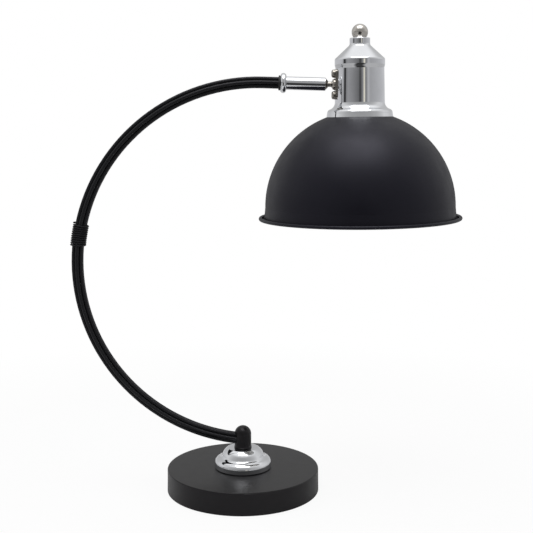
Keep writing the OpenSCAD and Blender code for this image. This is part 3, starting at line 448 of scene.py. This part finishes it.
def make_binding():
    """One wire, wound round the rods, with a short straight tail at each end."""
    wound = [wound_point(k / WIND_STEPS) for k in range(WIND_TURNS * WIND_STEPS + 1)]
    tail = 2 * WIRE_R
    first = (wound[0] - wound[1]).normalized()
    last = (wound[-1] - wound[-2]).normalized()
    path = [wound[0] + first * tail * t for t in TAIL_STEPS] + wound
    path += [wound[-1] + last * tail * t for t in reversed(TAIL_STEPS)]
    points, faces = tube(path, WIRE_R, WIRE_SIDES)
    mesh_piece("binding", [p * MM for p in points], faces, "stand",
               wire_black, "arm_binding")


# The lamp's screw shell, with its rolled thread, in millimetres
THREAD_PITCH = 3.62
THREAD_DEPTH = 0.42
SHELL_WALL = 0.34
SHELL_INNER = 13.52
SHELL_OUTER = 14.3  # of the CAD tube, whose box gives the length
THREAD_SIDES = 96
THREAD_STEPS = 84
THREAD_FADE = 6  # steps at each end


def make_screw_shell():
    """A rolled shell in the place of the plain CAD tube, on the head's leaning axis."""
    low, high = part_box("screw_shell")
    middle = (low + high) / 2
    rise = 2 * SHELL_OUTER * MM * math.sin(LEAN)
    length = (high.z - low.z - rise) / math.cos(LEAN) / MM
    lean = Matrix.Rotation(-LEAN, 3, "Y")
    rows = THREAD_STEPS + 1
    points, faces = [], []
    for wall in (0, 1):
        for k in range(rows):
            z = length * (k / THREAD_STEPS - 0.5)
            fade = min(1.0, min(k, THREAD_STEPS - k) / THREAD_FADE)
            for s in range(THREAD_SIDES):
                turn = s / THREAD_SIDES
                wave = 0.5 - 0.5 * math.cos(2 * math.pi * (z / THREAD_PITCH - turn))
                r = SHELL_INNER + THREAD_DEPTH * wave * fade + wall * SHELL_WALL
                c, d = around(s, THREAD_SIDES)
                points.append(middle + (lean @ Vector((r * c, r * d, z))) * MM)
    for wall in (0, 1):
        for k in range(THREAD_STEPS):
            row = (wall * rows + k) * THREAD_SIDES
            for s in range(THREAD_SIDES):
                a, b = row + s, row + (s + 1) % THREAD_SIDES
                quad = (a, a + THREAD_SIDES, b + THREAD_SIDES, b)
                faces.append(quad if wall == 0 else tuple(reversed(quad)))
    for row in (0, THREAD_STEPS):
        for s in range(THREAD_SIDES):
            a, b = row * THREAD_SIDES + s, row * THREAD_SIDES + (s + 1) % THREAD_SIDES
            c, d = b + rows * THREAD_SIDES, a + rows * THREAD_SIDES
            faces.append((a, b, c, d) if row == 0 else (d, c, b, a))
    mesh_piece("threaded_shell", points, faces, "head", brass, "screw_shell")


# Studio

FLOOR_HALF = 30.0
FLOOR_Z = -0.0001
WHITE_FROM, WHITE_TO = 0.4, 0.7  # the floor turns into the white background here, in metres
DULL_FROM, DULL_TO = 0.52, 0.66  # gloss sees a dull floor from here on, in metres
FRONT_FROM, FRONT_TO = 0.87, 0.97  # cosines to the front, between which that floor darkens


def make_floor():
    """A pale floor that fades into the white background away from the lamp."""
    data = bpy.data.meshes.new("floor")
    corners = [(-1, -1), (1, -1), (1, 1), (-1, 1)]
    data.from_pydata([(x * FLOOR_HALF, y * FLOOR_HALF, FLOOR_Z) for x, y in corners],
                     [], [(0, 1, 2, 3)])
    floor = bpy.data.objects.new("floor", data)
    bpy.context.scene.collection.objects.link(floor)
    s = Shader("floor_white", Roughness=0.9, Base_Color=(0.86, 0.86, 0.865, 1.0))
    path = s.node("ShaderNodeLightPath")
    away = s.vector("LENGTH", s.object_space)
    seen = s.math("MAXIMUM", path.outputs["Is Camera Ray"], path.outputs["Is Transmission Ray"])
    white = s.math("MULTIPLY", seen, s.spread(away, 0.92, 1.0, WHITE_FROM, WHITE_TO))
    surface = s.mix_shaders(white, s.bsdf.outputs[0], s.shine("ShaderNodeEmission", WHITE))
    # Gloss sees the floor as it is near the lamp, grey farther off, and dark in front, where
    # the photographer's room begins
    forward = s.vector("DOT_PRODUCT", s.vector("NORMALIZE", s.object_space), (0.0, -1.0, 0.0))
    room = s.mix(s.spread(forward, 0.0, 1.0, FRONT_FROM, FRONT_TO), grey(0.60), grey(0.03))
    dull = s.math("MULTIPLY", path.outputs["Is Glossy Ray"],
                  s.spread(away, 0.0, 0.97, DULL_FROM, DULL_TO))
    surface = s.mix_shaders(dull, surface, s.shine("ShaderNodeEmission", room))
    # From below the floor is clear, so that the underside can be looked at
    below = s.node("ShaderNodeNewGeometry").outputs["Backfacing"]
    clear = s.node("ShaderNodeBsdfTransparent").outputs[0]
    surface = s.mix_shaders(below, surface, clear)
    s.put(s.tree.nodes["Material Output"].inputs["Surface"], surface)
    dress(floor, s)


# What gloss sees near the horizon, by compass angle from the front (degrees, to the right):
# a room that is dim in front, with one dark line at the left and one warm window behind the
# photographer, and pale at the sides and behind the lamp
ROOM = [
    (-180, 0.70), (-150, 0.72), (-125, 0.74), (-105, 0.70), (-90, 0.62), (-83, 0.14),
    (-79, 0.015), (-75, 0.015), (-71, 0.31), (-61, 0.42), (-41, 0.35), (-21, 0.25),
    (-10, 0.19), (-5, 0.06), (0, 0.10), (6, 0.27), (11, 0.34), (13, 1.0), (18, 1.0),
    (20, 0.30), (24, 0.25), (34, 0.62), (45, 0.47), (79, 0.57), (108, 0.66), (127, 0.72),
    (155, 0.70), (180, 0.70),
]
WARM_FROM, WARM_TO = 12, 19  # the window's angles
WARM_TINT = (1.0, 0.95, 0.80)
COOL_TINT = (1.0, 1.0, 1.02)
# Greys of the upper walls, from behind the lamp (0) by way of its sides (0.5) to the front (1)
WALLS = [(0.0, 0.58), (0.12, 0.66), (0.30, 0.85), (0.50, 0.90), (0.75, 0.60), (1.0, 0.45)]
# Heights between which one zone turns into the next: sines of the angle above the horizon
WALLS_FROM, WALLS_TO = 0.06, 0.20
CEILING_FROM, CEILING_TO = 0.62, 0.92
CEILING = 1.25
PLAIN_LIGHT = 0.45


def room_colour(degrees, value):
    """A stop of the room: warm in the window, and a little blue elsewhere."""
    tint = WARM_TINT if WARM_FROM < degrees < WARM_TO else COOL_TINT
    return tuple(value * part for part in tint) + (1.0,)


def make_world():
    """White for the camera, a room of greys for gloss, and a plain level of light."""
    world = bpy.data.worlds.new("studio")
    bpy.context.scene.world = world
    world.use_nodes = True
    world.node_tree.nodes.clear()
    w = Tree(world.node_tree)

    def sky(colour, strength=1.0):
        return w.shine("ShaderNodeBackground", colour, strength)

    way = w.node("ShaderNodeSeparateXYZ")
    w.fill(way, w.node("ShaderNodeTexCoord").outputs["Generated"])
    front = w.math("MULTIPLY", way.outputs["Y"], -1.0)
    angle = w.math("ARCTAN2", way.outputs["X"], front)
    compass = w.spread(angle, 0.0, 1.0, -math.pi, math.pi)
    room = w.ramp(compass, [((a + 180) / 360, room_colour(a, value)) for a, value in ROOM])
    forward = w.math("MULTIPLY_ADD", front, 0.5, 0.5)
    walls = w.ramp(forward, [(place, grey(value)) for place, value in WALLS])
    up = way.outputs["Z"]
    to_walls = w.spread(up, 0.0, 1.0, WALLS_FROM, WALLS_TO, "SMOOTHSTEP")
    to_ceiling = w.spread(up, 0.0, 1.0, CEILING_FROM, CEILING_TO, "SMOOTHSTEP")
    studio = w.mix_shaders(to_walls, sky(room), sky(walls))
    studio = w.mix_shaders(to_ceiling, studio, sky(WHITE, CEILING))

    path = w.node("ShaderNodeLightPath")
    gloss = w.mix_shaders(path.outputs["Is Glossy Ray"], sky(WHITE, PLAIN_LIGHT), studio)
    direct = w.math("MAXIMUM", path.outputs["Is Camera Ray"],
                    path.outputs["Is Transmission Ray"])
    seen = w.mix_shaders(direct, gloss, sky(WHITE))
    w.fill(w.node("ShaderNodeOutputWorld"), seen)


# Each softbox: name, place, what it faces, width and height, watts, whether gloss sees it
SOFTBOXES = [
    ("key", (0.05, -0.35, 1.70), (0.06, 0.0, 0.20), (1.2, 0.9), 12.5, True),
    ("left", (-1.3, -0.3, 0.7), (0.0, 0.0, 0.25), (0.6, 1.2), 3.5, False),
    ("right", (1.4, -0.2, 0.7), (0.0, 0.0, 0.25), (0.6, 1.2), 3.5, False),
]


def softbox(name, place, target, size, watts, in_gloss):
    """A flat lamp that faces its target."""
    data = bpy.data.lights.new(name, "AREA")
    data.shape = "RECTANGLE"
    data.size, data.size_y = size
    data.energy = watts
    lamp = bpy.data.objects.new(name, data)
    bpy.context.scene.collection.objects.link(lamp)
    lamp.location = place
    facing = Vector(target) - Vector(place)
    lamp.rotation_euler = facing.to_track_quat("-Z", "Y").to_euler()
    lamp.visible_glossy = in_gloss


# The photograph's own view, solved from its ellipses and perspective
CAMERA_PLACE = (0.02409, -0.9964, 0.37374)
CAMERA_TILT = 81.812  # degrees up from looking straight down
CAMERA_SENSOR = 36.0
CAMERA_LENS = 68.20
CAMERA_CLIP = (0.05, 100.0)


def make_camera():
    data = bpy.data.cameras.new("camera")
    data.sensor_width = CAMERA_SENSOR
    data.lens = CAMERA_LENS
    data.clip_start, data.clip_end = CAMERA_CLIP
    camera = bpy.data.objects.new("camera", data)
    bpy.context.scene.collection.objects.link(camera)
    camera.location = CAMERA_PLACE
    camera.rotation_euler = (math.radians(CAMERA_TILT), 0.0, 0.0)
    bpy.context.scene.camera = camera


make_binding()
make_screw_shell()
make_floor()
make_world()
for box in SOFTBOXES:
    softbox(*box)
make_camera()
bpy.context.scene.view_settings.view_transform = "Standard"
